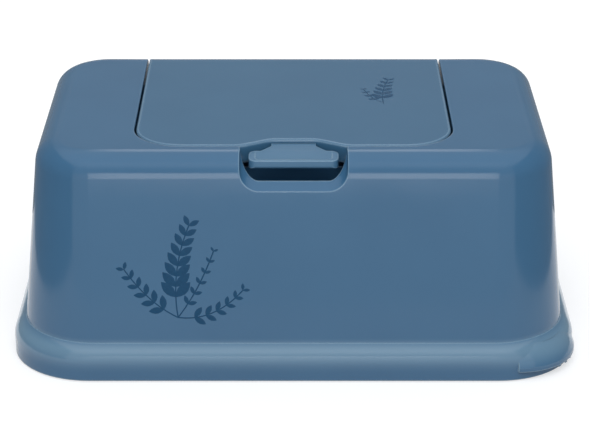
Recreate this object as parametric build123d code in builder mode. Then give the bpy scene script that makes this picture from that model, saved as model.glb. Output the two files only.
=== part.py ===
from build123d import *
from math import cos, dist, pi, radians, sin, tan
import os

os.makedirs("parts", exist_ok=True)

# A wipes container: a lift-off housing over a base tray, with a hinged flush lid and a press latch.
# X runs left to right, Y front to back, Z up, all in mm; the origin is on the floor, mid-box.

# Driving dimensions of the box
box_width = 240.0
box_depth = 155.0
box_height = 96.0
skirt_corner_r = 34.4
skirt_height = 16.0
skirt_round_r = 7.9
ledge = 5.2
draft = 5.77
body_corner_r = 32.6
top_edge_r = 10.0
wall = 2.2
skirt_lift = 0.6

# Lid
lid_half_width = 66.0
lid_margin = 26.2
lid_corner_r = 20.0
arch_half_width = 9.0
arch_ramp = 13.0
arch_depth = 7.1
arch_outer_r = 11.0
arch_inner_r = 7.0
lid_gap = 0.9
lid_wall = 2.2
lid_edge_r = 0.6
flange_wall = 2.0
flange_height = 8.0
lid_open_angle = 95.0

# Deck of the housing and its dispensing opening
deck_drop = 12.0
deck_wall = 2.0
well_wall = 2.0
opening_width = 96.0
opening_depth = 56.0
opening_corner_r = 26.0
opening_centre_y = 8.0
rim_wall = 2.0
rim_height = 4.0

# Lid hinge along the back
hinge_drop = 18.0
barrel_r = 5.0
seat_gap = 0.6
seat_wall = 1.8
stop_gap = 0.3
hinge_pin_r = 2.0
hinge_pin_length = 31.0
running_gap = 0.05
knuckle_length = 24.0
knuckle_web = 2.0
curl_wall = 1.8
curl_mouth = 4.0
boss_r = 4.6
boss_length = 8.0
cheek_gap = 1.0
cheek_front = 3.5

# Lid spring in a window of the left knuckle
end_knuckle = 4.0
spring_window = 5.8
lid_spring_wire = 0.8
lid_spring_r = 3.0
lid_spring_turns = 3.375
lid_spring_pitch = 1.26
lid_spring_long_leg = 11.0
lid_spring_short_leg = 3.4
pad_depth = 5.0
pad_gap = 0.15

# Finger recess in the front
recess_half_width = 22.2
recess_height = 14.6
recess_corner_r = 8.0
recess_ledge = 4.0
recess_slope = 39.0
recess_drop = 9.0
recess_wall = 2.0
recess_overlap = 0.2
well_edge_r = 0.5

# Latch pit behind the recess, and the latch's pivot
pit_half_width = 12.0
pit_drop = 6.0
pit_wall = 2.0
pit_rear_room = 7.0
pivot_reach = 8.6
pivot_rise = 2.5
latch_pin_r = 1.2
hub_r = 2.3
hub_boss_r = 2.0
hub_side_gap = 0.4

# Latch button: a wide thumb plate, a neck under the lid, and two cheeks with a hook
neck_half_width = 9.2
neck_rise = 4.8
neck_thickness = 2.4
cheek_lead = 7.6
cheek_slot = 4.4
plate_gap = 0.9
plate_half_width = 18.4
plate_length = 15.4
plate_shoulder = 6.5
plate_ramp = 4.2
plate_corner_r = 3.0
plate_bottom_rise = 0.4
plate_back_drop = 1.6
plate_front_drop = 3.2
plate_ramp_r = 1.4
plate_edge_r = 1.2
dish_border = 2.6
dish_lip = 1.5
dish_depth = 0.9
hook_lead = 3.2
hook_reach = 1.7
hook_thickness = 0.8
toe_length = 4.4
toe_height = 2.6
toe_gap = 0.1

# Striker under the lid that the hook holds
striker_half_width = 8.0
striker_overlap = 0.8
striker_gap = 0.2
striker_lead = 1.4
striker_height = 2.4
striker_rib = 2.0
striker_nose = 1.8

# Latch spring
latch_spring_wire = 0.5
latch_spring_r = 2.2
latch_spring_turns = 6
latch_spring_room = 3.1
peg_r = 1.4
peg_height = 2.0
end_gap = 0.02

# Lid liner and its seal
liner_margin = 6.0
liner_wall = 1.6
liner_plate = 1.8
seal_width = 2.4
seal_height = 2.35
seal_groove = 0.8
seal_gap = 0.25
stake_r = 1.5
stake_gap = 0.05
stake_span_x = 66.0
stake_span_y = 26.0

# Base tray
foot_stand = 1.0
tray_gap = 0.4
tray_plate = 2.2
upstand_height = 24.0
upstand_gap = 0.6
upstand_wall = 2.4
ring_bottom = 18.0
ring_height = 3.0
ring_depth = 1.0
ring_gap = 0.15
bead_r = 1.0
bead_proud = 0.3
bead_length = 24.0
rib_height = 1.6
rib_width = 1.6
rib_length = 110.0
rib_spacing = 30.0
rib_count = 6

# Feet
foot_r = 7.0
foot_pocket = 1.2
foot_gap = 0.05
foot_inset_x = 28.0
foot_inset_y = 27.5
foot_edge_r = 0.5

# Lifting lip at the right front corner
lip_corner_r = 26.0
lip_bottom = 4.4
lip_face = 1.8
lip_top = 14.5
lip_root = 6.0
lip_rib_width = 1.4
lip_rib_depth = 1.2
lip_rib_length = 3.8
lip_rib_inset = 0.4
lip_rib_step = 11.0
lip_rib_count = 4
lip_rib_middle = -28.0


def at_height(z):
    """Plane parallel to the floor at height z."""
    return Plane.XY.offset(z)


def across(x):
    """Plane that cuts the box from front to back at x; its axes are Y and Z."""
    return Plane(origin=(x, 0, 0), x_dir=(0, 1, 0), z_dir=(1, 0, 0))


draft_slope = tan(radians(draft))
body_width = box_width - 2 * ledge + 2 * skirt_height * draft_slope
body_depth = box_depth - 2 * ledge + 2 * skirt_height * draft_slope
lid_front = box_depth / 2 - lid_margin


def box_form(inset):
    """The box's outer form, or the same form drawn in by inset for an inner face."""
    with BuildPart() as form:
        with BuildSketch():
            RectangleRounded(box_width - 2 * inset, box_depth - 2 * inset, skirt_corner_r - inset)
        extrude(amount=skirt_height - inset)
        fillet(form.faces().sort_by(Axis.Z)[-1].edges(), skirt_round_r - inset)
        with BuildSketch():
            RectangleRounded(body_width - 2 * inset, body_depth - 2 * inset, body_corner_r - inset)
        extrude(amount=box_height - inset, taper=draft)
        fillet(form.faces().sort_by(Axis.Z)[-1].edges(), top_edge_r - inset)
    return form.part


def lid_outline(grow):
    """The lid seen from above, grown by a gap; its back end runs out past the box."""
    arch_foot = arch_half_width + arch_ramp
    with BuildSketch() as outline:
        with BuildLine():
            Polyline(
                (-lid_half_width, box_depth),
                (-lid_half_width, -lid_front),
                (-arch_foot, -lid_front),
                (-arch_half_width, -arch_back),
                (arch_half_width, -arch_back),
                (arch_foot, -lid_front),
                (lid_half_width, -lid_front),
                (lid_half_width, box_depth),
                close=True,
            )
        make_face()
        front = outline.vertices().filter_by_position(Axis.Y, -lid_front - 1, 0)
        fillet(front.filter_by_position(Axis.Y, -arch_back - 1, 0), arch_inner_r)
        feet = outline.vertices().filter_by_position(Axis.X, -arch_foot - 1, arch_foot + 1)
        fillet(feet.filter_by_position(Axis.Y, -lid_front - 1, -lid_front + 1), arch_outer_r)
        fillet(outline.vertices().group_by(Axis.X)[0].sort_by(Axis.Y)[0], lid_corner_r)
        fillet(outline.vertices().group_by(Axis.X)[-1].sort_by(Axis.Y)[0], lid_corner_r)
        if grow:
            offset(amount=grow)
    return outline.sketch


def opening_ring(bottom, height, inside, outside):
    """A ring round the dispensing opening, between two margins from the opening's edge."""
    with BuildPart() as ring:
        with BuildSketch(Plane(origin=(0, opening_centre_y, bottom))):
            RectangleRounded(
                opening_width + 2 * outside, opening_depth + 2 * outside, opening_corner_r + outside
            )
            RectangleRounded(
                opening_width + 2 * inside,
                opening_depth + 2 * inside,
                opening_corner_r + inside,
                mode=Mode.SUBTRACT,
            )
        extrude(amount=height)
    return ring.part


def side_bar(points, half_width):
    """A bar along X whose side view is the outline through points, given as (y, z)."""
    with BuildPart() as bar:
        with BuildSketch(across(0)):
            with BuildLine():
                Polyline(*points, close=True)
            make_face()
        extrude(amount=half_width, both=True)
    return bar.part


def rod(y, z, radius, start, end):
    """A round rod along X from start to end."""
    with BuildPart() as bar:
        with BuildSketch(across(start)):
            with Locations((y, z)):
                Circle(radius)
        extrude(amount=end - start)
    return bar.part


def least_gap(path, wire, turn_length):
    """The least clear distance between parts of a coil that are more than half a turn apart."""
    count = 400
    points = [path @ (i / count) for i in range(count + 1)]
    apart = int(count * turn_length / (2 * path.length))
    gaps = [
        dist(tuple(points[i]), tuple(points[j]))
        for i in range(count + 1)
        for j in range(i + apart, count + 1)
    ]
    return min(gaps) - wire


# Heights, from the deck up
deck_top = box_height - deck_drop
deck_bottom = deck_top - deck_wall
rim_top = deck_top + rim_height
roof_inside = box_height - lid_wall
flange_bottom = box_height - flange_height
seal_bottom = rim_top + seal_gap
seal_top = seal_bottom + seal_height
liner_bottom = seal_top - seal_groove

# Hinge line: the barrel is flush with the back wall
hinge_z = box_height - hinge_drop
hinge_y = body_depth / 2 - hinge_z * draft_slope - barrel_r
seat_r = barrel_r + seat_gap
well_half_width = lid_half_width + lid_gap
trough_front = hinge_y - seat_r
trough_bottom = hinge_z - seat_r - seat_wall
open_tilt = radians(lid_open_angle)
stop_reach = barrel_r * (1 - cos(open_tilt)) / sin(open_tilt)
wall_stop = hinge_z - barrel_r * sin(open_tilt) + stop_reach * cos(open_tilt) - stop_gap

# Recess, pit and pivot
arch_back = lid_front - arch_depth
recess_bottom = box_height - recess_height
recess_front = body_depth / 2 - recess_bottom * draft_slope
recess_back = arch_back + lid_gap - recess_overlap
recess_floor = deck_top - recess_drop
pit_front = recess_back - recess_wall
pit_floor = deck_top - pit_drop
pivot_y = pit_front - pivot_reach
pivot_z = pit_floor + pivot_rise
pit_back = pivot_y - pit_rear_room
spring_y = pit_front - latch_spring_room
neck_bottom = deck_top + neck_rise
neck_top = neck_bottom + neck_thickness
hook_face = pivot_y + hook_lead
hook_tip = hook_face - hook_reach
hook_bottom = neck_bottom - hook_thickness + plate_bottom_rise

outer_form = box_form(0)
inner_form = box_form(wall)
core_form = box_form(wall / 2)
lid_inner_form = box_form(lid_wall)
lid_plan = lid_outline(0)
lid_inside_plan = lid_outline(-flange_wall)
well_plan = lid_outline(lid_gap)
well_wall_plan = lid_outline(lid_gap + well_wall)
rim_ring = opening_ring(deck_bottom, deck_wall + rim_height, 0, rim_wall)

# Lifting lip: a tighter corner that stands out past the skirt's rounded corner
lip_x = box_width / 2 - lip_corner_r
lip_y = -(box_depth / 2 - lip_corner_r)
lip_side = Plane(origin=(lip_x, lip_y, 0), x_dir=(0, -1, 0), z_dir=(-1, 0, 0))
with BuildPart() as lip:
    with BuildSketch(lip_side):
        with BuildLine():
            root_r = lip_corner_r - lip_root
            brim = (lip_corner_r, lip_bottom + lip_face)
            Polyline((root_r, lip_top), (root_r, lip_bottom), (lip_corner_r, lip_bottom), brim)
            RadiusArc((root_r, lip_top), brim, lip_top)
        make_face()
    revolve(axis=Axis((lip_x, lip_y, 0), (0, 0, 1)), revolution_arc=90)

# Blocks inside the housing that the well, recess, pit and hinge seat are cut from
with BuildPart() as inner_blocks:
    with BuildSketch(at_height(deck_bottom)):
        add(well_wall_plan)
    extrude(amount=box_height - deck_bottom)
    with BuildSketch(at_height(recess_floor - recess_wall)):
        with Locations((0, -pit_front)):
            Rectangle(
                2 * (recess_half_width + recess_wall), box_depth / 2, align=(Align.CENTER, Align.MAX)
            )
    extrude(amount=box_height - recess_floor + recess_wall)
    with BuildSketch(at_height(pit_floor - pit_wall)):
        with Locations((0, pit_wall - pit_back)):
            Rectangle(
                2 * (pit_half_width + pit_wall),
                recess_back - pit_back + pit_wall,
                align=(Align.CENTER, Align.MAX),
            )
    extrude(amount=deck_top - pit_floor + pit_wall)
    with BuildSketch(at_height(trough_bottom)):
        with Locations((0, trough_front - seat_wall)):
            Rectangle(
                2 * (well_half_width + well_wall), box_depth / 2, align=(Align.CENTER, Align.MIN)
            )
    extrude(amount=deck_top - trough_bottom)
    add(core_form, mode=Mode.INTERSECT)

# Way of the lid's back edge and barrel through the housing's back wall
hinge_way = side_bar(
    [
        (trough_front, 2 * box_height),
        (trough_front, hinge_z),
        (hinge_y, hinge_z),
        (hinge_y, wall_stop),
        (box_depth, wall_stop),
        (box_depth, 2 * box_height),
    ],
    well_half_width,
)
hinge_seat = rod(hinge_y, hinge_z, seat_r, -well_half_width, well_half_width)
boss_end = well_half_width + boss_length

# Housing
with BuildPart() as housing:
    add(outer_form)
    add(lip.part)
    add(inner_form, mode=Mode.SUBTRACT)
    add(inner_blocks.part)
    with BuildSketch(at_height(deck_top)):
        add(well_plan)
    extrude(amount=box_height, mode=Mode.SUBTRACT)
    add(hinge_way, mode=Mode.SUBTRACT)

    # Rounded edge round the lid's well
    top_faces = housing.faces().filter_by(Axis.Z).group_by(Axis.Z)[-1]
    well_edges = (
        top_faces.edges()
        .filter_by_position(Axis.X, -well_half_width - lid_gap, well_half_width + lid_gap)
        .filter_by_position(Axis.Y, -lid_front - well_wall, hinge_y - top_edge_r)
    )
    fillet(well_edges, well_edge_r)
    add(hinge_seat, mode=Mode.SUBTRACT)
    add(rim_ring)
    with BuildSketch(Plane(origin=(0, opening_centre_y, deck_bottom))):
        RectangleRounded(opening_width, opening_depth, opening_corner_r)
    extrude(amount=box_height, mode=Mode.SUBTRACT)

    # Bosses for the two hinge pins, on the outer sides of the lid's well
    for start, end in ((-boss_end, -well_half_width), (well_half_width, boss_end)):
        with BuildSketch(across(start)):
            with Locations((hinge_y, hinge_z)):
                Circle(boss_r)
        extrude(amount=end - start)
        with BuildSketch(across(start)):
            with Locations((hinge_y, hinge_z)):
                Circle(hinge_pin_r)
        extrude(amount=end - start, mode=Mode.SUBTRACT)

    # Finger recess: a ledge that slopes up from the front face, then a pocket behind it
    with BuildSketch(Plane(origin=(0, -recess_front, 0), x_dir=(1, 0, 0), z_dir=(0, -1, 0))) as mouth:
        with Locations((0, recess_bottom)):
            Rectangle(2 * recess_half_width, box_height, align=(Align.CENTER, Align.MIN))
        fillet(mouth.vertices().group_by(Axis.Z)[0], recess_corner_r)
    slope = radians(recess_slope)
    extrude(amount=box_height, dir=(0, cos(slope), sin(slope)), mode=Mode.SUBTRACT)
    with BuildSketch(at_height(recess_floor)) as pocket:
        with Locations((0, -recess_back)):
            Rectangle(
                2 * recess_half_width,
                recess_front - recess_ledge - recess_back,
                align=(Align.CENTER, Align.MAX),
            )
        fillet(pocket.vertices().group_by(Axis.Y)[0], recess_corner_r)
    extrude(amount=box_height, mode=Mode.SUBTRACT)

    # Latch pit with its spring peg and the holes for the latch pin
    with BuildSketch(at_height(pit_floor)):
        with Locations((0, -pit_back)):
            Rectangle(2 * pit_half_width, pit_front - pit_back, align=(Align.CENTER, Align.MAX))
    extrude(amount=box_height, mode=Mode.SUBTRACT)
    with BuildSketch(at_height(pit_floor)):
        with Locations((0, -spring_y)):
            Circle(peg_r)
    extrude(amount=peg_height)
    with BuildSketch(across(0)):
        with Locations((-pivot_y, pivot_z)):
            Circle(latch_pin_r)
    extrude(amount=pit_half_width + pit_wall, both=True, mode=Mode.SUBTRACT)

    # Grip ribs under the lifting lip
    with BuildSketch(at_height(lip_bottom - lip_rib_depth)):
        with Locations((lip_x, lip_y)):
            with PolarLocations(
                lip_corner_r - lip_rib_inset - lip_rib_length / 2,
                lip_rib_count,
                start_angle=lip_rib_middle - lip_rib_step * (lip_rib_count - 1) / 2,
                angular_range=lip_rib_step * (lip_rib_count - 1),
                endpoint=True,
            ):
                Rectangle(lip_rib_length, lip_rib_width)
    extrude(amount=lip_rib_depth)
    split(bisect_by=at_height(skirt_lift), keep=Keep.TOP)
housing.part.label = "housing"
export_step(housing.part, "parts/housing.step")

# Lid: a skin that follows the box over its back edge, with a flange, a hinge barrel and a striker
lid_side = side_bar(
    [
        (-box_depth, flange_bottom),
        (trough_front - cheek_gap, flange_bottom),
        (hinge_y - cheek_front, deck_top + cheek_gap),
        (hinge_y - cheek_front, hinge_z),
        (box_depth, hinge_z),
        (box_depth, 2 * box_height),
        (-box_depth, 2 * box_height),
    ],
    box_width,
)
with BuildPart() as lid_hollow:
    with BuildSketch():
        add(lid_inside_plan)
    extrude(amount=box_height)
    add(lid_inner_form, mode=Mode.INTERSECT)

striker_front = hook_tip + striker_overlap
striker_face = striker_front - striker_nose
striker_top = hook_bottom - striker_gap
striker = side_bar(
    [
        (-striker_face, roof_inside + end_gap),
        (-striker_face, striker_top),
        (-striker_front, striker_top),
        (-striker_front, striker_top - striker_lead),
        (-striker_face, striker_top - striker_height),
        (striker_rib - striker_face, striker_top - striker_height),
        (striker_rib - striker_face, roof_inside + end_gap),
    ],
    striker_half_width,
)

window_start = -lid_half_width + end_knuckle
long_leg_y = hinge_y + (lid_spring_r - lid_spring_long_leg) / 2 ** 0.5
long_leg_z = hinge_z + (lid_spring_r + lid_spring_long_leg) / 2 ** 0.5
pad_bottom = long_leg_z + lid_spring_wire / 2 + pad_gap
with BuildPart() as lid:
    add(outer_form)
    with BuildSketch():
        add(lid_plan)
    extrude(amount=box_height, mode=Mode.INTERSECT)
    add(lid_hollow.part, mode=Mode.SUBTRACT)
    add(lid_side, mode=Mode.INTERSECT)
    add(rod(hinge_y, hinge_z, barrel_r, -lid_half_width, lid_half_width))
    curl_half = lid_half_width - knuckle_length - knuckle_web
    add(rod(hinge_y, hinge_z, barrel_r - curl_wall, -curl_half, curl_half), mode=Mode.SUBTRACT)
    with BuildSketch(across(0)):
        with Locations((hinge_y, hinge_z)):
            Rectangle(barrel_r + stop_gap, curl_mouth, align=(Align.MAX, Align.CENTER))
    extrude(amount=curl_half, both=True, mode=Mode.SUBTRACT)
    bore_r = hinge_pin_r + running_gap
    bore_end = lid_half_width - knuckle_length
    add(rod(hinge_y, hinge_z, bore_r, -lid_half_width, -bore_end), mode=Mode.SUBTRACT)
    add(rod(hinge_y, hinge_z, bore_r, bore_end, lid_half_width), mode=Mode.SUBTRACT)
    add(striker)
    with BuildSketch(at_height(liner_bottom)):
        with Locations((0, opening_centre_y)):
            with GridLocations(stake_span_x, stake_span_y, 2, 2):
                Circle(stake_r)
    extrude(amount=roof_inside - liner_bottom + end_gap)
    with BuildSketch(at_height(pad_bottom)):
        with Locations((window_start, long_leg_y)):
            Rectangle(spring_window, pad_depth, align=(Align.MIN, Align.CENTER))
    extrude(amount=roof_inside - pad_bottom + end_gap)

    # Rounded edge all round the lid's skin, except where it runs into the back
    lid_face = lid.faces().filter_by(Axis.Z).group_by(Axis.Z)[-1]
    fillet(
        lid_face.edges().filter_by_position(Axis.Y, -box_depth / 2, hinge_y - top_edge_r), lid_edge_r
    )

    # Window in the left knuckle for the lid spring, open towards the front and the top
    with BuildSketch(across(window_start)):
        with Locations((hinge_y, hinge_z)):
            Circle(barrel_r + seat_gap)
    extrude(amount=spring_window, mode=Mode.SUBTRACT)

    # Notch in the front flange for the latch's neck
    with BuildSketch(at_height(flange_bottom - end_gap)):
        with Locations((0, -arch_back)):
            Rectangle(2 * (neck_half_width + cheek_gap), 4 * flange_wall)
    extrude(amount=neck_top + lid_gap - flange_bottom + end_gap, mode=Mode.SUBTRACT)
lid.part.label = "lid"
export_step(lid.part, "parts/lid.step")

# Hinge pins, pressed into the bosses
pin_end = boss_end
for side, name in ((-1, "hinge_pin_left"), (1, "hinge_pin_right")):
    with BuildPart() as hinge_pin:
        with BuildSketch(across(side * pin_end)):
            with Locations((hinge_y, hinge_z)):
                Circle(hinge_pin_r)
        extrude(amount=-side * hinge_pin_length)
    hinge_pin.part.label = name
    export_step(hinge_pin.part, f"parts/{name}.step")

# Lid spring: a torsion coil round the left pin, one leg on the seat and one under the lid
coil_length = lid_spring_turns * lid_spring_pitch
with BuildPart() as torsion_coil:
    with BuildLine() as torsion_path:
        coil = Helix(lid_spring_pitch, coil_length, lid_spring_r)
        Line((coil @ 0) - (coil % 0) * lid_spring_short_leg, coil @ 0)
        Line(coil @ 1, (coil @ 1) + (coil % 1) * lid_spring_long_leg)
    torsion_wire = torsion_path.wire()
    with BuildSketch(Plane(origin=torsion_wire @ 0, z_dir=torsion_wire % 0)):
        Circle(lid_spring_wire / 2)
    sweep(path=torsion_wire, is_frenet=True)
coil_start = window_start + (spring_window - coil_length) / 2
with BuildPart() as lid_spring:
    with Locations(Plane(origin=(coil_start, hinge_y, hinge_z), x_dir=(0, 0, -1), z_dir=(1, 0, 0))):
        add(torsion_coil.part)
lid_spring.part.label = "lid_spring"
export_step(lid_spring.part, "parts/lid_spring.step")

# Lid liner: a pan under the skin that is staked to it and carries the seal
liner_width = opening_width + 2 * liner_margin
liner_depth = opening_depth + 2 * liner_margin
liner_corner_r = opening_corner_r + liner_margin
with BuildPart() as lid_liner:
    with BuildSketch(Plane(origin=(0, opening_centre_y, liner_bottom))):
        RectangleRounded(liner_width, liner_depth, liner_corner_r)
    extrude(amount=roof_inside - liner_bottom)
    with BuildSketch(Plane(origin=(0, opening_centre_y, liner_bottom + liner_plate))):
        RectangleRounded(
            liner_width - 2 * liner_wall, liner_depth - 2 * liner_wall, liner_corner_r - liner_wall
        )
    extrude(amount=box_height, mode=Mode.SUBTRACT)
    with BuildSketch(at_height(liner_bottom)):
        with Locations((0, opening_centre_y)):
            with GridLocations(stake_span_x, stake_span_y, 2, 2):
                Circle(stake_r + stake_gap)
    extrude(amount=liner_plate, mode=Mode.SUBTRACT)
    seal_edge = (rim_wall - seal_width) / 2
    groove_in = seal_edge - stake_gap
    groove_out = seal_edge + seal_width + stake_gap
    add(opening_ring(liner_bottom, seal_groove, groove_in, groove_out), mode=Mode.SUBTRACT)
lid_liner.part.label = "lid_liner"
export_step(lid_liner.part, "parts/lid_liner.step")

# Lid seal: a soft ring in the liner's groove, just above the rim
seal_ring = opening_ring(seal_bottom, seal_height, seal_edge, seal_edge + seal_width)
with BuildPart() as lid_seal:
    add(seal_ring)
lid_seal.part.label = "lid_seal"
export_step(lid_seal.part, "parts/lid_seal.step")

# Latch button: seen from above, a wide thumb plate that narrows into its neck
plate_back = arch_back + plate_gap
plate_front = plate_back + plate_length
shoulder = plate_back + plate_shoulder
plate_bottom = neck_bottom + plate_bottom_rise
back_top = box_height - plate_back_drop
front_top = box_height - plate_front_drop
hub_half = pit_half_width - hub_side_gap
cheek_front_y = pivot_y + cheek_lead
toe_bottom = pit_floor + toe_gap
lever = side_bar(
    [
        (-plate_back - plate_edge_r, neck_bottom),
        (-cheek_front_y, neck_bottom),
        (-cheek_front_y, deck_top + neck_rise / 2),
        (-pivot_y - hub_r, pivot_z - hub_r / 3),
        (-pivot_y, pivot_z - hub_r / 3),
        (-pivot_y, pivot_z + hub_r),
        (-hook_face, deck_top + striker_lead),
        (-hook_face, hook_bottom),
        (-hook_tip, hook_bottom),
        (-hook_tip, hook_bottom + hook_thickness),
        (-hook_face - hook_reach / 2, neck_top),
        (-plate_back - plate_edge_r, neck_top),
    ],
    neck_half_width,
)
toe = side_bar(
    [
        (-pivot_y, toe_bottom),
        (toe_length - pivot_y, toe_bottom),
        (toe_length - pivot_y, toe_bottom + toe_height / 2),
        (-pivot_y, toe_bottom + toe_height),
    ],
    neck_half_width,
)
with BuildSketch() as plate_plan:
    with BuildLine():
        ramp_half = neck_half_width + plate_ramp
        Polyline(
            (-plate_half_width, -plate_front),
            (-plate_half_width, -shoulder),
            (-ramp_half, -shoulder),
            (-neck_half_width, plate_ramp - shoulder),
            (-neck_half_width, -plate_back),
            (neck_half_width, -plate_back),
            (neck_half_width, plate_ramp - shoulder),
            (ramp_half, -shoulder),
            (plate_half_width, -shoulder),
            (plate_half_width, -plate_front),
            close=True,
        )
    make_face()
    ends = plate_plan.vertices().group_by(Axis.X)
    fillet(ends[0] + ends[-1], plate_corner_r)
    ramps = plate_plan.vertices().filter_by_position(Axis.X, -ramp_half - 1, ramp_half + 1)
    fillet(ramps.filter_by_position(Axis.Y, -shoulder - 1, plate_ramp - shoulder + 1), plate_ramp_r)
with BuildSketch() as dish_plan:
    with Locations((0, dish_lip - plate_front)):
        Rectangle(
            2 * (plate_half_width - dish_border), plate_length, align=(Align.CENTER, Align.MIN)
        )
    fillet(dish_plan.vertices().group_by(Axis.Y)[0], dish_lip)
shoulder_top = back_top - (back_top - front_top) * plate_shoulder / plate_length
dish_cut = side_bar(
    [
        (-plate_front, front_top - dish_depth),
        (-shoulder, shoulder_top),
        (-shoulder, 2 * box_height),
        (-plate_front, 2 * box_height),
    ],
    2 * plate_half_width,
)
with BuildPart() as dish:
    with BuildSketch():
        add(dish_plan.sketch)
    extrude(amount=2 * box_height)
    add(dish_cut, mode=Mode.INTERSECT)
with BuildPart() as thumb_plate:
    with BuildSketch(at_height(plate_bottom)):
        add(plate_plan.sketch)
    extrude(amount=box_height - plate_bottom)
    with BuildSketch(across(0)) as plate_side:
        with BuildLine():
            Polyline(
                (-plate_back, plate_bottom),
                (-plate_back, back_top),
                (-plate_front, front_top),
                (-plate_front, plate_bottom),
                close=True,
            )
        make_face()
        fillet(plate_side.vertices().group_by(Axis.Y)[0], plate_edge_r)
    extrude(amount=2 * plate_half_width, both=True, mode=Mode.INTERSECT)
    add(dish.part, mode=Mode.SUBTRACT)
with BuildPart() as latch_button:
    add(lever)
    add(toe)
    add(rod(-pivot_y, pivot_z, hub_r, -neck_half_width, neck_half_width))
    add(rod(-pivot_y, pivot_z, hub_boss_r, -hub_half, hub_half))
    with BuildSketch(at_height(pit_floor)):
        with Locations((0, -pit_back)):
            Rectangle(2 * cheek_slot, recess_back - pit_back, align=(Align.CENTER, Align.MAX))
    extrude(amount=neck_bottom - pit_floor, mode=Mode.SUBTRACT)
    add(rod(-pivot_y, pivot_z, latch_pin_r + running_gap, -hub_half, hub_half), mode=Mode.SUBTRACT)
    add(thumb_plate.part)
latch_button.part.label = "latch_button"
export_step(latch_button.part, "parts/latch_button.step")

# Latch pin, pressed into the pit's side walls
latch_pin_half = pit_half_width + pit_wall
with BuildPart() as latch_pin:
    add(rod(-pivot_y, pivot_z, latch_pin_r, -latch_pin_half, latch_pin_half))
latch_pin.part.label = "latch_pin"
export_step(latch_pin.part, "parts/latch_pin.step")

# Latch spring: a coil that stands on the peg and lifts the neck
latch_coil_start = pit_floor + latch_spring_wire / 2 + end_gap
latch_coil_height = neck_bottom - latch_spring_wire / 2 - end_gap - latch_coil_start
latch_spring_pitch = latch_coil_height / latch_spring_turns
with BuildPart() as latch_spring:
    with BuildLine() as latch_path:
        Helix(
            latch_spring_pitch,
            latch_coil_height,
            latch_spring_r,
            center=(0, -spring_y, latch_coil_start),
        )
    latch_wire = latch_path.wire()
    with BuildSketch(Plane(origin=latch_wire @ 0, z_dir=latch_wire % 0)):
        Circle(latch_spring_wire / 2)
    sweep(path=latch_wire, is_frenet=True)
latch_spring.part.label = "latch_spring"
export_step(latch_spring.part, "parts/latch_spring.step")

# Base tray: a ribbed plate inside the skirt with an upstand that carries the base seal
tray_inset = wall + tray_gap
body_inset = wall + upstand_gap + ledge + (upstand_height - skirt_height) * draft_slope
upstand_corner_r = body_corner_r - upstand_height * draft_slope - wall - upstand_gap
tray_top = foot_stand + tray_plate
ring_inset = wall + ring_gap + ledge + (ring_bottom + ring_height - skirt_height) * draft_slope
ring_inner_inset = body_inset + ring_depth
foot_x = box_width / 2 - foot_inset_x
foot_y = box_depth / 2 - foot_inset_y


def round_outline(inset, corner_r):
    """The box's footprint drawn in by inset."""
    with BuildSketch() as outline:
        RectangleRounded(box_width - 2 * inset, box_depth - 2 * inset, corner_r)
    return outline.sketch


tray_outline = round_outline(tray_inset, skirt_corner_r - tray_inset)
upstand_outside = round_outline(body_inset, upstand_corner_r)
upstand_inside = round_outline(body_inset + upstand_wall, upstand_corner_r - upstand_wall)
ring_inside = round_outline(ring_inner_inset, upstand_corner_r - ring_depth)
ring_corner_r = upstand_corner_r + body_inset - ring_inset
ring_outside = round_outline(ring_inset, ring_corner_r)
with BuildPart() as base_tray:
    with BuildSketch(at_height(foot_stand)):
        add(tray_outline)
    extrude(amount=tray_plate)
    with BuildSketch(at_height(tray_top)):
        add(upstand_outside)
        add(upstand_inside, mode=Mode.SUBTRACT)
    extrude(amount=upstand_height - tray_top)
    with BuildSketch(at_height(ring_bottom)):
        add(upstand_outside)
        add(ring_inside, mode=Mode.SUBTRACT)
    extrude(amount=ring_height, mode=Mode.SUBTRACT)
    with BuildSketch(at_height(tray_top)):
        with GridLocations(rib_spacing, 0, rib_count, 1):
            Rectangle(rib_width, rib_length)
    extrude(amount=rib_height)
    with BuildSketch(at_height(foot_stand)):
        with GridLocations(2 * foot_x, 2 * foot_y, 2, 2):
            Circle(foot_r + foot_gap)
    extrude(amount=foot_pocket, mode=Mode.SUBTRACT)

    # Beads on the plate's long edges that rub on the skirt and hold the housing
    bead_y = box_depth / 2 - tray_inset - bead_r + bead_proud
    for side in (-1, 1):
        with BuildSketch(across(-bead_length / 2)):
            with Locations((side * bead_y, foot_stand + tray_plate / 2)):
                Circle(bead_r)
        extrude(amount=bead_length)
base_tray.part.label = "base_tray"
export_step(base_tray.part, "parts/base_tray.step")

# Base seal: a soft ring in the upstand's groove
with BuildPart() as base_seal:
    with BuildSketch(at_height(ring_bottom)):
        add(ring_outside)
        add(ring_inside, mode=Mode.SUBTRACT)
    extrude(amount=ring_height)
base_seal.part.label = "base_seal"
export_step(base_seal.part, "parts/base_seal.step")

# Feet: four soft pads in the pockets under the tray
foot_names = {
    (-1, -1): "foot_front_left",
    (1, -1): "foot_front_right",
    (-1, 1): "foot_back_left",
    (1, 1): "foot_back_right",
}
for (side, end), name in foot_names.items():
    with BuildPart() as foot:
        with BuildSketch():
            with Locations((side * foot_x, end * foot_y)):
                Circle(foot_r)
        extrude(amount=foot_stand + foot_pocket)
        fillet(foot.edges().group_by(Axis.Z)[0], foot_edge_r)
    foot.part.label = name
    export_step(foot.part, f"parts/{name}.step")

lid_spring_gap = least_gap(torsion_wire, lid_spring_wire, 2 * pi * lid_spring_r)
latch_spring_gap = least_gap(latch_wire, latch_spring_wire, 2 * pi * latch_spring_r)
print(f"lid spring: least gap to itself {lid_spring_gap:.2f} mm")
print(f"latch spring: least gap to itself {latch_spring_gap:.2f} mm")
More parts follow.
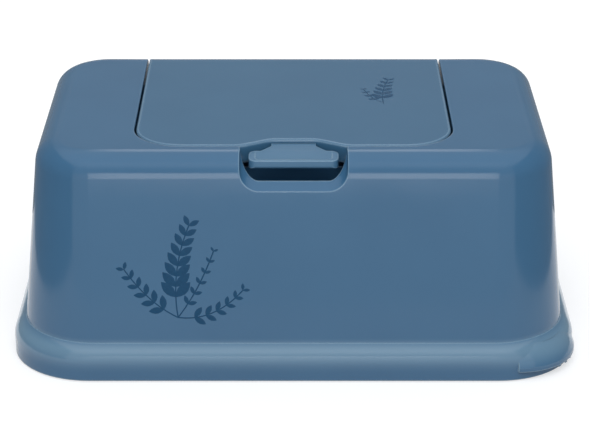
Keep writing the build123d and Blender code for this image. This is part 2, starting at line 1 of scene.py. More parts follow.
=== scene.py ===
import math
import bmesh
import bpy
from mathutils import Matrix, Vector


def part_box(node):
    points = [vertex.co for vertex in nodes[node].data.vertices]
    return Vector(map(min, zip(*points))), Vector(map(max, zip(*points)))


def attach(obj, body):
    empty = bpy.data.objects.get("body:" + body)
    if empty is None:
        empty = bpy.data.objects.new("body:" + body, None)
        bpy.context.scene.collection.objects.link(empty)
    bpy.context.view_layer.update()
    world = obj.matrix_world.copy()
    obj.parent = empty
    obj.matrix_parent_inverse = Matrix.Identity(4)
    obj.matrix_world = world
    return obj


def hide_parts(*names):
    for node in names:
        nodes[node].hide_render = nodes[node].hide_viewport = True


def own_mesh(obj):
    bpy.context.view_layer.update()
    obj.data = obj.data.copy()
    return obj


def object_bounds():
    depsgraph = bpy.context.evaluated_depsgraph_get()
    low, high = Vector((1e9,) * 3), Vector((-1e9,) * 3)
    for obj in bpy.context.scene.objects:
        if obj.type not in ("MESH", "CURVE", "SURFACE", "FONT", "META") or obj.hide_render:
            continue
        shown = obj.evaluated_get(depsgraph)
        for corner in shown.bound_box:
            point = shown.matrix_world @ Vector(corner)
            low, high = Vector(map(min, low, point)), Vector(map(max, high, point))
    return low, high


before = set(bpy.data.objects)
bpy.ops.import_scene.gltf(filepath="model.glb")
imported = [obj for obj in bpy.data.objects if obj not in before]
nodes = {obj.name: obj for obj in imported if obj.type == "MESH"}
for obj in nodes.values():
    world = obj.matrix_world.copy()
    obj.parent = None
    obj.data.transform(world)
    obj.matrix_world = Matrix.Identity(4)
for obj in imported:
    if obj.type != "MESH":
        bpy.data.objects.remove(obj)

# %% [markdown]
# # A wipes container in satin blue plastic
#
# The CAD frame already holds every rigid piece of the container at its real size. This scene
# gives the pieces their finish, prints sprigs of leaves on the front and the lid, and lights the
# box as a small studio would, so that its long rounded edge carries two streaks of light.
#
# Everything is in metres: X runs left to right, Y front to back and Z up.

MM = 0.001
size_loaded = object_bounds()
scene = bpy.context.scene
box_height = size_loaded[1][2] - size_loaded[0][2]
print("Nodes:", len(nodes), "Height in mm:", round(box_height / MM, 1))

# %% [markdown]
# ## Node trees that read like maths
#
# A material, the studio's light and the printed sprigs are all node trees. They could be built
# node by node and link by link, but then a simple sum takes a dozen lines. Here a small class
# wraps one output socket, and its operators make Math nodes, so that a tree's sums are written
# as ordinary expressions. The reflected forms let a plain number stand first, as in 1 - mask.

# %% Socket
class Socket:
    """One output socket with arithmetic."""

    def __init__(self, graph, output):
        self.graph = graph
        self.output = output

    def maths(self, operation, *terms):
        return self.graph.node("ShaderNodeMath", {"operation": operation}, dict(enumerate(terms)))

    def __add__(self, other):
        return self.maths("ADD", self, other)

    def __radd__(self, other):
        return self.maths("ADD", other, self)

    def __sub__(self, other):
        return self.maths("SUBTRACT", self, other)

    def __rsub__(self, other):
        return self.maths("SUBTRACT", other, self)

    def __mul__(self, other):
        return self.maths("MULTIPLY", self, other)

    def __rmul__(self, other):
        return self.maths("MULTIPLY", other, self)

    def __truediv__(self, other):
        return self.maths("DIVIDE", self, other)

    def __rtruediv__(self, other):
        return self.maths("DIVIDE", other, self)

    def __abs__(self):
        return self.maths("ABSOLUTE", self)

    def at_most(self, other):
        return self.maths("MINIMUM", self, other)

    def at_least(self, other):
        return self.maths("MAXIMUM", self, other)

    def between(self, low, high):
        """Runs from low to high as this socket runs from 0 to 1."""
        return self * (high - low) + low


print("Socket ready")

# %% [markdown]
# Any other node comes from one method, which takes the node's type, its settings and its inputs.
# Settings go first, because some of them change which inputs a node has.

# %% Graph
class Graph:
    """A node tree, filled by calls instead of by hand."""

    def __init__(self, tree):
        self.tree = tree
        tree.nodes.clear()

    def feed(self, socket, value):
        """Links a Socket to an input, or sets the input to a plain value."""
        if isinstance(value, Socket):
            self.tree.links.new(value.output, socket)
        else:
            socket.default_value = value

    def node(self, kind, settings=None, inputs=None, output=0):
        made = self.tree.nodes.new(kind)
        for key, value in (settings or {}).items():
            setattr(made, key, value)
        for key, value in (inputs or {}).items():
            self.feed(made.inputs[key], value)
        return Socket(self, made.outputs[output])

    def end(self, kind, value):
        """Adds the tree's last node, which takes value and gives nothing."""
        self.feed(self.tree.nodes.new(kind).inputs[0], value)

    def vector(self, x, y, z):
        return self.node("ShaderNodeCombineXYZ", inputs={"X": x, "Y": y, "Z": z})

    def split(self, vector):
        """The x, y and z of a vector."""
        parts = self.node("ShaderNodeSeparateXYZ", inputs={"Vector": vector})
        return [Socket(self, output) for output in parts.output.node.outputs]

    def ramp(self, value, start, end):
        """Runs smoothly from 0 to 1 as value goes from start to end."""
        inputs = {"Value": value, "From Min": start, "From Max": end}
        return self.node("ShaderNodeMapRange", {"interpolation_type": "SMOOTHSTEP"}, inputs)


print("Graph ready")

# %% [markdown]
# ## Materials
#
# A finish is a graph that ends in one Principled shader. Its patterns could be painted images,
# but noise worked out from the Object coordinates needs no unwrapping, and it keeps its place
# and its real size on every piece. Noise scales are in ripples per metre.

# %% Finish
# The Mix node's colour sockets go by index, because their names are used more than once.
MIX_FIRST, MIX_SECOND, MIX_RESULT = 6, 7, 2
EDGE_START = 0.002
EDGE_FULL = 0.06


class Finish(Graph):
    """A material that ends in one Principled shader."""

    def __init__(self, name):
        self.material = bpy.data.materials.new(name)
        self.material.use_nodes = True
        super().__init__(self.material.node_tree)
        surface = self.node("ShaderNodeBsdfPrincipled")
        self.shader = surface.output.node
        self.end("ShaderNodeOutputMaterial", surface)

    def set(self, **values):
        """Sets the shader's own sockets; underscores stand for spaces."""
        for key, value in values.items():
            self.feed(self.shader.inputs[key.replace("_", " ")], value)

    def place(self):
        return self.node("ShaderNodeTexCoord", output="Object")

    def noise(self, scale, detail=2.0, roughness=0.5):
        inputs = {"Scale": scale, "Detail": detail, "Roughness": roughness}
        return self.node("ShaderNodeTexNoise", inputs={"Vector": self.place(), **inputs})

    def blend(self, share, first, second):
        """The first colour where share is 0 and the second where it is 1."""
        inputs = {"Factor": share, MIX_FIRST: first, MIX_SECOND: second}
        return self.node("ShaderNodeMix", {"data_type": "RGBA"}, inputs, MIX_RESULT)

    def bump(self, height, depth, **inputs):
        return self.node("ShaderNodeBump", inputs={"Height": height, "Distance": depth, **inputs})

    def edge_highlight_mask(self, edge):
        """1 on an edge and 0 on a face, from a Bevel node's normal: the mask of the painted
        highlight.
        """
        face = self.node("ShaderNodeNewGeometry", output="Normal")
        settings = {"operation": "DOT_PRODUCT"}
        alike = self.node("ShaderNodeVectorMath", settings, {0: edge, 1: face}, "Value")
        return self.ramp(1.0 - alike, EDGE_START, EDGE_FULL)


def rgba(red, green, blue):
    """A colour as a picture editor shows it, 0 to 255, turned into linear light."""
    def linear(level):
        """The sRGB standard's curve."""
        level = level / 255
        return level / 12.92 if level <= 0.04045 else ((level + 0.055) / 1.055) ** 2.4
    return (linear(red), linear(green), linear(blue), 1.0)


print("Finish ready")

# %% [markdown]
# ## Satin moulded plastic
#
# The box is moulded in one blue. Four things keep it from looking like flat paint: a cloudy
# change of tone over several centimetres, a fine spark-eroded grain that breaks up the gloss, a
# roughness that wanders a little where hands have touched it, and edges that the mould leaves
# slightly rounded, with a painted highlight that makes them paler.
#
# The edges could be rounded in the mesh, but the CAD solids stay as they are. The Bevel node
# gives the normal that a rounded edge would have, in the shading alone. Where that normal turns
# away from the face's own, there is an edge, and there the colour is painted paler as a painted
# highlight. The rounded top of the skirt has a painted highlight too: it is painted a shade
# paler, and it carries a thin coat of gloss.

# %% Moulded plastic
BODY_EDGE = 0.9 * MM
LID_EDGE = 2.2 * MM
EDGE_SAMPLES = 8
# The paler colour painted along edges as a painted highlight, and how much of it shows.
EDGE_HIGHLIGHT = rgba(132, 165, 190)
EDGE_HIGHLIGHT_SHARE = 0.85
CLOUD_SCALE = 22.0
TOUCH_SCALE = 55.0
TOUCH_SMOOTHER = 0.03
TOUCH_ROUGHER = 0.05
GRAIN_SCALE = 2600.0
GRAIN_DEPTH = 0.002 * MM
SKIRT_TOP = 18 * MM
SKIRT_CROWN = 13.5 * MM
SKIRT_FOOT = 4 * MM
CROWN_COAT = 0.6


def moulded(name, tone, deep, roughness=0.13, edge_round=BODY_EDGE, painted_sheen=None):
    """Satin plastic from deep to tone; the skirt colour, if given, is painted on the skirt's
    rounded top as a highlight.
    """
    graph = Finish(name)
    touch = graph.noise(TOUCH_SCALE, detail=4.0, roughness=0.6)
    grain = graph.noise(GRAIN_SCALE, roughness=0.6)
    edge = graph.node("ShaderNodeBevel", {"samples": EDGE_SAMPLES}, {"Radius": edge_round})
    clouded = graph.blend(graph.noise(CLOUD_SCALE, detail=3.0), deep, tone)
    # Edges get a painted highlight: the colour turns paler along them.
    colour = graph.blend(graph.edge_highlight_mask(edge) * EDGE_HIGHLIGHT_SHARE, clouded, EDGE_HIGHLIGHT)
    if painted_sheen:
        height = graph.split(graph.place())[2]
        below_top = graph.ramp(height, SKIRT_TOP, SKIRT_CROWN)
        crown = below_top * graph.ramp(height, SKIRT_FOOT, SKIRT_CROWN)
        # The skirt's rounded top is painted paler, a painted highlight; the coat of gloss on it
        # is real.
        colour = graph.blend(crown, colour, painted_sheen)
        graph.set(Coat_Weight=crown * CROWN_COAT, Coat_Roughness=0.2)
    graph.set(
        Base_Color=colour,
        Roughness=touch.between(roughness - TOUCH_SMOOTHER, roughness + TOUCH_ROUGHER),
        Normal=graph.bump(grain, GRAIN_DEPTH, Normal=edge),
        IOR=1.47,
    )
    return graph.material


# The third colour of the body is a painted highlight for the skirt's rounded top.
body_blue = moulded("body_blue", rgba(66, 110, 145), rgba(59, 102, 137), painted_sheen=rgba(103, 138, 163))
lid_blue = moulded("lid_blue", rgba(67, 111, 144), rgba(60, 103, 136), edge_round=LID_EDGE)
tray_blue = moulded("tray_blue", rgba(62, 109, 145), rgba(55, 101, 137))
button_blue = moulded("button_blue", rgba(72, 116, 148), rgba(66, 108, 140), roughness=0.4)
liner_grey = moulded("liner_grey", rgba(206, 214, 220), rgba(192, 201, 208), roughness=0.42)
print("Plastics:", [m.name for m in (body_blue, lid_blue, tray_blue, button_blue, liner_grey)])

# %% [markdown]
# ## Soft and steel parts
#
# The seals are milky silicone, the feet dark rubber, and the pins and springs drawn steel. Each
# could be one plain colour, as little of them shows. But a matt skin on the soft parts, and fine
# marks of the drawing die on the steel, tell them from plastic when the lid is open.

# %% Soft and steel parts
TONE_SCALE = 90.0
SKIN_SCALE = 1400.0
SKIN_DEPTH = 0.02 * MM
SKIN_SPREAD = 0.06
STOCK_SCALE = 200.0
MARK_SCALE = 3000.0
MARK_DEPTH = 0.004 * MM


def soft(name, tone, deep, roughness):
    """Rubber or silicone with a fine matt skin."""
    graph = Finish(name)
    skin = graph.noise(SKIN_SCALE, detail=3.0)
    graph.set(
        Base_Color=graph.blend(graph.noise(TONE_SCALE), deep, tone),
        Roughness=skin.between(roughness - SKIN_SPREAD, roughness + SKIN_SPREAD),
        Normal=graph.bump(skin, SKIN_DEPTH),
    )
    return graph.material


def drawn_steel(name, tone, deep):
    """Steel wire or pin stock with fine marks of the drawing die."""
    graph = Finish(name)
    marks = graph.noise(MARK_SCALE, detail=3.0, roughness=0.7)
    graph.set(
        Base_Color=graph.blend(graph.noise(STOCK_SCALE), deep, tone),
        Metallic=1.0,
        Roughness=marks.between(0.2, 0.34),
        Normal=graph.bump(marks, MARK_DEPTH),
    )
    return graph.material


silicone = soft("silicone", rgba(206, 212, 214), rgba(186, 193, 197), roughness=0.5)
rubber = soft("foot_rubber", rgba(62, 66, 70), rgba(48, 51, 55), roughness=0.7)
steel = drawn_steel("drawn_steel", rgba(205, 206, 208), rgba(176, 178, 180))
print("Soft and steel finishes:", silicone.name, rubber.name, steel.name)

# %% [markdown]
# Each CAD node keeps its own mesh, so a finish only has to be put in the node's material slots.
# That keeps the solids and the picture in step, where a copy of each mesh could drift from them.

# %% Finishes on the CAD nodes
finish_of = {
    "housing": body_blue,
    "lid": lid_blue,
    "base_tray": tray_blue,
    "latch_button": button_blue,
    "lid_liner": liner_grey,
    "lid_seal": silicone,
    "base_seal": silicone,
    "hinge_pin_left": steel,
    "hinge_pin_right": steel,
    "latch_pin": steel,
    "latch_spring": steel,
    "lid_spring": steel,
}
for corner in ("front_left", "front_right", "back_left", "back_right"):
    finish_of["foot_" + corner] = rubber
for name, finish in finish_of.items():
    for material_slot in nodes[name].material_slots:
        material_slot.material = finish
print("Finished nodes:", len(finish_of))

# %% [markdown]
# ## A copy of the latch spring
#
# When the thumb plate goes down, the coil under it has to get shorter. A CAD node is rigid here,
# so it would stick through the plate. A copy of the coil takes its place, with a mesh of its own,
# and rides on the housing. A CAD mesh is loose triangles, so the copy's doubled points are merged
# before it is shaded smooth.

# %% Latch spring
COIL_MERGE = 0.001 * MM


def add_object(name, data):
    """Puts a mesh, a lamp or a camera in the scene."""
    made = bpy.data.objects.new(name, data)
    scene.collection.objects.link(made)
    return made


def copy_of_node(name, node_name):
    """A node's mesh as a piece of its own, with its doubled points merged."""
    form = bmesh.new()
    form.from_mesh(nodes[node_name].data)
    bmesh.ops.remove_doubles(form, verts=form.verts, dist=COIL_MERGE)
    mesh = bpy.data.meshes.new(name)
    form.to_mesh(mesh)
    form.free()
    mesh.materials.append(finish_of[node_name])
    mesh.shade_smooth()
    return add_object(name, mesh)


coil_low, coil_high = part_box("latch_spring")
coil = copy_of_node("latch_coil", "latch_spring")
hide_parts("latch_spring")
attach(coil, "housing")
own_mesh(coil)
print("Coil length in mm:", round((coil_high[2] - coil_low[2]) / MM, 1))

# %% [markdown]
# ## Printed sprigs
#
# The front and the lid carry a small print in one dark ink. Ink could be a colour mixed into the
# plastic, but as a thin form of its own it has sharp edges at any distance, and its own gloss.

# %% The ink
PAD_SCALE = 900.0
GLOSS_SCALE = 300.0


def printed(name, tone, deep):
    """Pad-printed ink, slightly uneven where the pad lifted off."""
    graph = Finish(name)
    graph.set(
        Base_Color=graph.blend(graph.noise(PAD_SCALE, detail=3.0), deep, tone),
        Roughness=graph.noise(GLOSS_SCALE).between(0.4, 0.55),
        Specular_IOR_Level=0.2,
    )
    return graph.material


ink = printed("print_ink", rgba(20, 74, 108), rgba(12, 62, 96))
print("Ink:", ink.name)

# %% [markdown]
# A sprig is a rule: a bent stem, with leaves in pairs that lean away from it and shrink towards
# its tip. Each leaf could be drawn by hand, but a rule suits Geometry Nodes: one tree draws every
# sprig, and a new one takes only new values for the tree's inputs.

# %% The sprig tree and its inputs
SPRIG_INPUTS = {
    "Root": "NodeSocketVector",
    "Bend": "NodeSocketVector",
    "Tip": "NodeSocketVector",
    "Pairs": "NodeSocketInt",
    "Leaf Length": "NodeSocketFloat",
    "Leaf Width": "NodeSocketFloat",
    "Lean": "NodeSocketFloat",
    "Stem Width": "NodeSocketFloat",
    "Ink Height": "NodeSocketFloat",
    "Ink": "NodeSocketMaterial",
}
sprig_tree = bpy.data.node_groups.new("sprig", "GeometryNodeTree")
sprig_tree.interface.new_socket("Geometry", in_out="OUTPUT", socket_type="NodeSocketGeometry")
sprig_sockets = {}
for label, kind in SPRIG_INPUTS.items():
    entry = sprig_tree.interface.new_socket(label, in_out="INPUT", socket_type=kind)
    sprig_sockets[label] = entry.identifier
sprig = Graph(sprig_tree)


def given(label):
    """One of the tree's named inputs."""
    return sprig.node("NodeGroupInput", output=label)


print("Inputs of a sprig:", len(sprig_sockets))

# %% [markdown]
# The stem is a Quadratic Bezier, because a root, a bend and a tip are all that it needs. Curve to
# Mesh gives it a round section, and a scale presses that down to the height of the ink.

# %% Stem
STEM_STEPS = 24
STEM_SIDES = 8

route = {"Start": given("Root"), "Middle": given("Bend"), "End": given("Tip")}
stem = sprig.node("GeometryNodeCurveQuadraticBezier", inputs={"Resolution": STEM_STEPS, **route})
half_stem = given("Stem Width") * 0.5
section_size = {"Resolution": STEM_SIDES, "Radius": half_stem}
section = sprig.node("GeometryNodeCurvePrimitiveCircle", inputs=section_size)
sweep = {"Curve": stem, "Profile Curve": section, "Fill Caps": True}
tube = sprig.node("GeometryNodeCurveToMesh", inputs=sweep)
press = sprig.vector(1.0, 1.0, given("Ink Height") / half_stem)
stem_print = sprig.node("GeometryNodeTransform", inputs={"Geometry": tube, "Scale": press})
print("Stem steps:", STEM_STEPS)

# %% [markdown]
# The leaf starts as a ball. Its width times its own size, y times the size of y, pinches both
# ends to points, and one step along x puts its foot at the origin, where it meets the stem. Then
# it is pressed flat, as the stem is.

# %% Leaf
LEAF_SEGMENTS = 14
LEAF_RINGS = 6

ball_size = {"Segments": LEAF_SEGMENTS, "Rings": LEAF_RINGS, "Radius": 1.0}
ball = sprig.node("GeometryNodeMeshUVSphere", inputs=ball_size)
along, across, above = sprig.split(sprig.node("GeometryNodeInputPosition"))
pinched = sprig.vector(along + 1.0, across * abs(across), above)
blade = sprig.node("GeometryNodeSetPosition", inputs={"Geometry": ball, "Position": pinched})
half_length = given("Leaf Length") * 0.5
half_width = given("Leaf Width") * 0.5
leaf_size = sprig.vector(half_length, half_width, given("Ink Height"))
leaf = sprig.node("GeometryNodeTransform", inputs={"Geometry": blade, "Scale": leaf_size})
print("Leaf segments:", LEAF_SEGMENTS, "rings:", LEAF_RINGS)

# %% [markdown]
# Instance on Points sets a leaf on each side of every point along the stem. The stem's tangent
# turns the leaf along the stem, and the lean turns it away from there. Realize Instances makes
# the leaves real faces at the end, because the export drops instances.

# %% Leaves in pairs
LEAFY_FROM = 0.22
TIP_SHRINK = 0.45

leafy_inputs = {"Curve": stem, "Start": LEAFY_FROM, "End": 1.0}
leafy_part = sprig.node("GeometryNodeTrimCurve", {"mode": "FACTOR"}, leafy_inputs)
station_inputs = {"Curve": leafy_part, "Count": given("Pairs")}
stations = sprig.node("GeometryNodeResampleCurve", inputs=station_inputs)
tangent = sprig.node("GeometryNodeInputTangent")
on_stem = sprig.node("FunctionNodeAlignRotationToVector", {"axis": "X"}, {"Vector": tangent})
shrink = 1.0 - TIP_SHRINK * sprig.node("GeometryNodeSplineParameter")


def leaves_on_side(side):
    """One leaf at each station, leaning to one side of the stem."""
    turn_inputs = {"Axis": (0.0, 0.0, 1.0), "Angle": given("Lean") * side}
    turn = sprig.node("FunctionNodeAxisAngleToRotation", inputs=turn_inputs)
    lean_inputs = {"Rotation": on_stem, "Rotate By": turn}
    leaning = sprig.node("FunctionNodeRotateRotation", {"rotation_space": "LOCAL"}, lean_inputs)
    leaves = {"Points": stations, "Instance": leaf, "Rotation": leaning, "Scale": shrink}
    return sprig.node("GeometryNodeInstanceOnPoints", inputs=leaves)


joined = sprig.node("GeometryNodeJoinGeometry")
for part in (leaves_on_side(-1.0), leaves_on_side(1.0), stem_print):
    sprig.feed(joined.output.node.inputs[0], part)
real_faces = sprig.node("GeometryNodeRealizeInstances", inputs={"Geometry": joined})
inked_inputs = {"Geometry": real_faces, "Material": given("Ink")}
sprig.end("NodeGroupOutput", sprig.node("GeometryNodeSetMaterial", inputs=inked_inputs))
print("Sprig tree nodes:", len(sprig_tree.nodes))

# %% [markdown]
# A sprig is drawn flat, u to the right and v up, and then laid on its surface. The tree's
# modifier sits on a host object only until its result is a plain mesh. The front wall leans back
# a little, so its plane is measured on the housing with two rays instead of guessed.

# %% Drawing a sprig
INK_HEIGHT = 0.04 * MM
STEM_WIDTH = 0.55 * MM


def draw_sprig(bend, tip, pairs, leaf_length, leaf_width, lean, root=(0, 0)):
    """A sprig as a plain mesh; points are (u, v) and sizes in millimetres, lean in degrees."""
    host = add_object("sprig_host", bpy.data.meshes.new("sprig_host"))
    modifier = host.modifiers.new("sprig", "NODES")
    modifier.node_group = sprig_tree
    values = {
        "Root": Vector((*root, 0.0)) * MM,
        "Bend": Vector((*bend, 0.0)) * MM,
        "Tip": Vector((*tip, 0.0)) * MM,
        "Pairs": pairs,
        "Leaf Length": leaf_length * MM,
        "Leaf Width": leaf_width * MM,
        "Lean": math.radians(lean),
        "Stem Width": STEM_WIDTH,
        "Ink Height": INK_HEIGHT,
        "Ink": ink,
    }
    for label, value in values.items():
        modifier[sprig_sockets[label]] = value
    depsgraph = bpy.context.evaluated_depsgraph_get()
    drawn = bpy.data.meshes.new_from_object(host.evaluated_get(depsgraph), depsgraph=depsgraph)
    bpy.data.objects.remove(host)
    return drawn


print("Ink height in mm:", round(INK_HEIGHT / MM, 2))

# %% Laying a print
PRINT_MERGE = 0.0002 * MM
RIGHT = Vector((1.0, 0.0, 0.0))
BACKWARD = Vector((0.0, 1.0, 0.0))


def laid_on(origin, up):
    """The matrix that lays (u, v) on the plane through origin, u to the right and v along up."""
    axes = Matrix((RIGHT, up, RIGHT.cross(up))).transposed()
    return Matrix.Translation(origin) @ axes.to_4x4()


def lay_print(name, sprigs, place, body):
    """Joins drawn sprigs into one piece, laid by the matrix place, that rides on body."""
    form = bmesh.new()
    for drawn in sprigs:
        form.from_mesh(drawn)
    bmesh.ops.remove_doubles(form, verts=form.verts, dist=PRINT_MERGE)
    bmesh.ops.recalc_face_normals(form, faces=form.faces)
    form.transform(place)
    mesh = bpy.data.meshes.new(name)
    form.to_mesh(mesh)
    form.free()
    mesh.materials.append(ink)
    piece = add_object(name, mesh)
    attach(piece, body)
    print(name, "faces:", len(mesh.polygons))


print("Prints merge points within", PRINT_MERGE / MM, "mm")

# %% [markdown]
# On the front, one tall sprig and three shorter ones share a root. They could be one outline
# traced by hand, but as separate sprigs each can be bent until the four look grown. The print
# stands low at the left and leaves the middle to the latch.

# %% The front print
PRINT_X = -48 * MM
PRINT_FOOT = 27 * MM
PRINT_HEAD = 70 * MM
BEFORE_BOX = -1.0


def front_point(x, z):
    """The point of the housing's front wall at x and z, which ray_cast gives second."""
    return nodes["housing"].ray_cast(Vector((x, BEFORE_BOX, z)), BACKWARD)[1]


foot_point = front_point(PRINT_X, PRINT_FOOT)
wall_up = (front_point(PRINT_X, PRINT_HEAD) - foot_point).normalized()
front_sprigs = [
    draw_sprig((-3, 20), (5, 40), pairs=8, leaf_length=9.0, leaf_width=4.2, lean=42),
    draw_sprig((-12, 6), (-22, 21), pairs=6, leaf_length=6.4, leaf_width=3.0, lean=46),
    draw_sprig((15, -2), (27, 12), pairs=6, leaf_length=5.6, leaf_width=2.6, lean=44),
    draw_sprig((9, 12), (15, 29), pairs=6, leaf_length=4.0, leaf_width=1.9, lean=48),
]
lay_print("front_sprigs", front_sprigs, laid_on(foot_point, wall_up), "housing")

# %% [markdown]
# The lid has a smaller print at the right, on its flat top. It could join the front's in one
# piece, but a piece of its own can ride on the lid, so that it swings back with it.

# %% The lid print
LID_PRINT_X = 39 * MM
LID_PRINT_Y = -2 * MM

lid_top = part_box("lid")[1][2]
lid_point = Vector((LID_PRINT_X, LID_PRINT_Y, lid_top))
lid_sprigs = [
    draw_sprig((-1, 15), (3, 30), pairs=6, leaf_length=7.2, leaf_width=3.4, lean=40),
    draw_sprig((-6, 8), (-8, 18), 4, leaf_length=3.6, leaf_width=2.4, lean=46, root=(-1, 2)),
]
lay_print("lid_sprigs", lid_sprigs, laid_on(lid_point, BACKWARD), "lid")

# %% [markdown]
# ## Floor
#
# The floor is pale. A white floor could come from strong lamps, but they would wash out the box.
# Here it shines white by itself, to the camera and in gloss alone, so that its white doesn't
# light the box, and the box's soft shadow still falls on it.

# %% Floor
WHITE = (1.0, 1.0, 1.0, 1.0)
BLACK = (0.0, 0.0, 0.0, 1.0)
FLOOR_GLOW = 0.6
FLOOR_REACH = 4.0
FLOOR_CLOUD_SCALE = 3.0
FLOOR_SHEEN_SCALE = 8.0


def ray_kinds(graph):
    """Three sockets: 1 for the camera's, for mirrored and for refracted rays, otherwise 0."""
    kinds = ("Is Camera Ray", "Is Glossy Ray", "Is Transmission Ray")
    return [graph.node("ShaderNodeLightPath", output=kind) for kind in kinds]


def rectangle(low, high):
    """The four corners of a rectangle in order, as pairs."""
    return [(low[0], low[1]), (high[0], low[1]), (high[0], high[1]), (low[0], high[1])]


def panel(name, corners, material):
    """One flat face of the studio, which is no part of the box."""
    mesh = bpy.data.meshes.new(name)
    mesh.from_pydata(corners, [], [(0, 1, 2, 3)])
    mesh.materials.append(material)
    made = add_object(name, mesh)
    return made


pale = Finish("studio_floor")
camera_ray, glossy_ray, clear_ray = ray_kinds(pale)
shines = (camera_ray + glossy_ray + clear_ray).at_most(1.0)
clouds = pale.noise(FLOOR_CLOUD_SCALE)
pale.set(
    Base_Color=pale.blend(clouds, rgba(188, 189, 191), rgba(193, 194, 195)),
    Roughness=pale.noise(FLOOR_SHEEN_SCALE).between(0.75, 0.85),
    Specular_IOR_Level=0.0,
    Emission_Color=pale.blend(shines, BLACK, WHITE),
    Emission_Strength=FLOOR_GLOW,
)
floor_outline = rectangle((-FLOOR_REACH, -FLOOR_REACH), (FLOOR_REACH, FLOOR_REACH))
panel("floor", [(x, y, 0.0) for x, y in floor_outline], pale.material)
print("Floor reaches", FLOOR_REACH, "m each way")

# %% [markdown]
# ## Backdrop and ambient light
#
# The world does two jobs. The camera sees it as a white backdrop, and so does the gloss, where
# it looks low and to the front or back. All other rays see the studio's soft light, which fades
# towards the back and both sides, so that the box's corners are darker. High up, the gloss sees
# a brighter ceiling. A plain white world would light every side alike and flatten the box.

# %% Studio light
AMBIENT_TINT = (0.95, 0.975, 1.0, 1.0)
OVERHEAD = 0.7
OVERHEAD_GLOSS = 0.5
CEILING_START = 0.5
CEILING_FULL = 0.85
BACK_FADE = 0.36
SIDE_FADE = 0.15
BACKDROP_TOP = 0.2
BACKDROP_BLUR = 0.08

world = bpy.data.worlds.new("studio")
scene.world = world
world.use_nodes = True
studio = Graph(world.node_tree)
camera_ray, glossy_ray, clear_ray = ray_kinds(studio)
sideways, backward, upward = studio.split(studio.node("ShaderNodeTexCoord", output="Generated"))
aside = sideways * sideways
low_down = studio.ramp(upward, BACKDROP_TOP, BACKDROP_TOP - BACKDROP_BLUR)
backdrop_gloss = glossy_ray * low_down * (1.0 - aside)
shows_backdrop = (camera_ray + clear_ray + backdrop_gloss).at_most(1.0)
ceiling = OVERHEAD_GLOSS * glossy_ray * studio.ramp(upward, CEILING_START, CEILING_FULL)
behind = BACK_FADE * backward.at_least(0.0)
strength = (OVERHEAD + ceiling - behind) * (1.0 - SIDE_FADE * aside)
soft_light = {"Color": AMBIENT_TINT, "Strength": strength}
ambient = studio.node("ShaderNodeBackground", inputs=soft_light)
backdrop = studio.node("ShaderNodeBackground", inputs={"Color": WHITE, "Strength": 1.0})
choice = {0: shows_backdrop, 1: ambient, 2: backdrop}
studio.end("ShaderNodeOutputWorld", studio.node("ShaderNodeMixShader", inputs=choice))
print("Studio light overhead:", OVERHEAD)

# %% [markdown]
# ## Lamps
#
# One large key lamp above and in front does most of the lighting, and a fill lamp keeps the back
# of the box from going dark. If they were seen in the gloss too, they would lay a haze over the
# whole blue. So they add no gloss, and two smaller softboxes add nothing else: the front one
# draws the streak below the top edge, and the one behind draws the streak along the edge itself.
# Their widths set how long the streaks are.

# %% Softboxes
BOX_MIDDLE = (0.0, 0.0, 0.05)
TOP_EDGE = (0.0, -0.06, 0.09)
STREAK_HEIGHT = 0.105


def softbox(name, centre, target, width, height, radiance, in_gloss=True, in_shade=True):
    """An area lamp at centre that faces target; radiance 1 is as bright as a white wall."""
    light = bpy.data.lights.new(name, "AREA")
    light.shape = "RECTANGLE"
    light.size = width
    light.size_y = height
    light.energy = radiance * math.pi * width * height
    lamp = add_object(name, light)
    lamp.location = centre
    lamp.rotation_mode = "QUATERNION"
    lamp.rotation_quaternion = (Vector(target) - Vector(centre)).to_track_quat("-Z", "Y")
    lamp.visible_camera = False
    lamp.visible_glossy = in_gloss
    lamp.visible_diffuse = in_shade


softbox(
    "key", centre=(0.0, -1.1, 1.5), target=BOX_MIDDLE,
    width=1.2, height=0.9, radiance=3.9, in_gloss=False,
)
softbox(
    "fill_back", centre=(0.0, 1.6, 0.5), target=BOX_MIDDLE,
    width=1.2, height=0.5, radiance=4.6, in_gloss=False,
)
softbox(
    "streak_front", centre=(0.0, -0.5, STREAK_HEIGHT), target=(0.0, -0.07, STREAK_HEIGHT),
    width=0.266, height=0.186, radiance=2.7, in_shade=False,
)
softbox(
    "streak_back", centre=(0.0, 0.9, 0.9), target=TOP_EDGE,
    width=0.39, height=0.4, radiance=1.3, in_shade=False,
)

# %% [markdown]
# ## Cards
#
# A photographer stands a dark card at each side of a glossy product, because its outline would
# otherwise mirror the white surroundings and melt into them. A third card lies behind the box.
# A low white card in front hides the front softbox from the skirt, which would otherwise show a
# second streak. The cards are seen in gloss alone, so they cast no shadow and the camera looks
# through them.

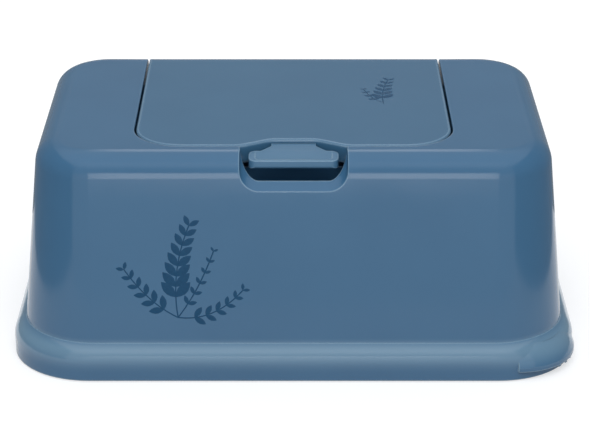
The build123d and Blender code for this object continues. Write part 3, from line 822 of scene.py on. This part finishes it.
# %% Dark cards and the white apron
CARD_TONES = (rgba(6, 6, 6), rgba(12, 12, 12))
CARD_SCALE = 20.0
CARD_TINT = (0.9, 0.96, 1.0, 1.0)
CARD_GLOW = 0.3
CARD_DISTANCE = 0.22
CARD_HEIGHT = 0.25
CARD_FRONT = -0.25
CARD_BACK = 2.0
REAR_CARD_FRONT = 0.1
REAR_CARD_HEIGHT = 1 * MM
APRON_GLOW = 1.0
APRON_DISTANCE = 0.2
APRON_HALF_WIDTH = 0.19
APRON_HEIGHT = 0.06


def card(name, corners, glow=CARD_GLOW):
    """A card through four corners, seen in gloss alone."""
    finish = Finish(name)
    finish.set(
        Base_Color=finish.blend(finish.noise(CARD_SCALE), *CARD_TONES),
        Roughness=0.9,
        Specular_IOR_Level=0.0,
        Emission_Color=CARD_TINT,
        Emission_Strength=glow,
    )
    made = panel(name, corners, finish.material)
    for ray in ("camera", "diffuse", "shadow", "transmission"):
        setattr(made, "visible_" + ray, False)


side_outline = rectangle((CARD_FRONT, 0.0), (CARD_BACK, CARD_HEIGHT))
for name, x in (("card_left", -CARD_DISTANCE), ("card_right", CARD_DISTANCE)):
    card(name, [(x, y, z) for y, z in side_outline])
rear_outline = rectangle((-CARD_DISTANCE, REAR_CARD_FRONT), (CARD_DISTANCE, CARD_BACK))
card("card_behind", [(x, y, REAR_CARD_HEIGHT) for x, y in rear_outline])
apron_outline = rectangle((-APRON_HALF_WIDTH, 0.0), (APRON_HALF_WIDTH, APRON_HEIGHT))
card("apron", [(x, -APRON_DISTANCE, z) for x, z in apron_outline], glow=APRON_GLOW)
print("Dark cards stand at", CARD_DISTANCE, "m on each side")

# %% [markdown]
# ## Camera
#
# The camera stands 0.9 m away and looks down by 23.6 degrees. It could have been set by eye, but
# the box's converging sides and the curve of its skirt line up with only one place and pitch.

# %% Camera
CAMERA_PLACE = (0.0, -0.8434, 0.4079)
CAMERA_PITCH = 23.6
FOCAL_LENGTH = 126.24
SENSOR_WIDTH = 36.0
FRAME_SHIFT = 0.0024

camera_data = bpy.data.cameras.new("camera")
camera_data.sensor_width = SENSOR_WIDTH
camera_data.lens = FOCAL_LENGTH
camera_data.shift_x = FRAME_SHIFT
camera = add_object("camera", camera_data)
camera.location = CAMERA_PLACE
camera.rotation_euler = (math.radians(90 - CAMERA_PITCH), 0.0, 0.0)
scene.camera = camera
scene.view_settings.view_transform = "Standard"
print("Camera at", CAMERA_PLACE)
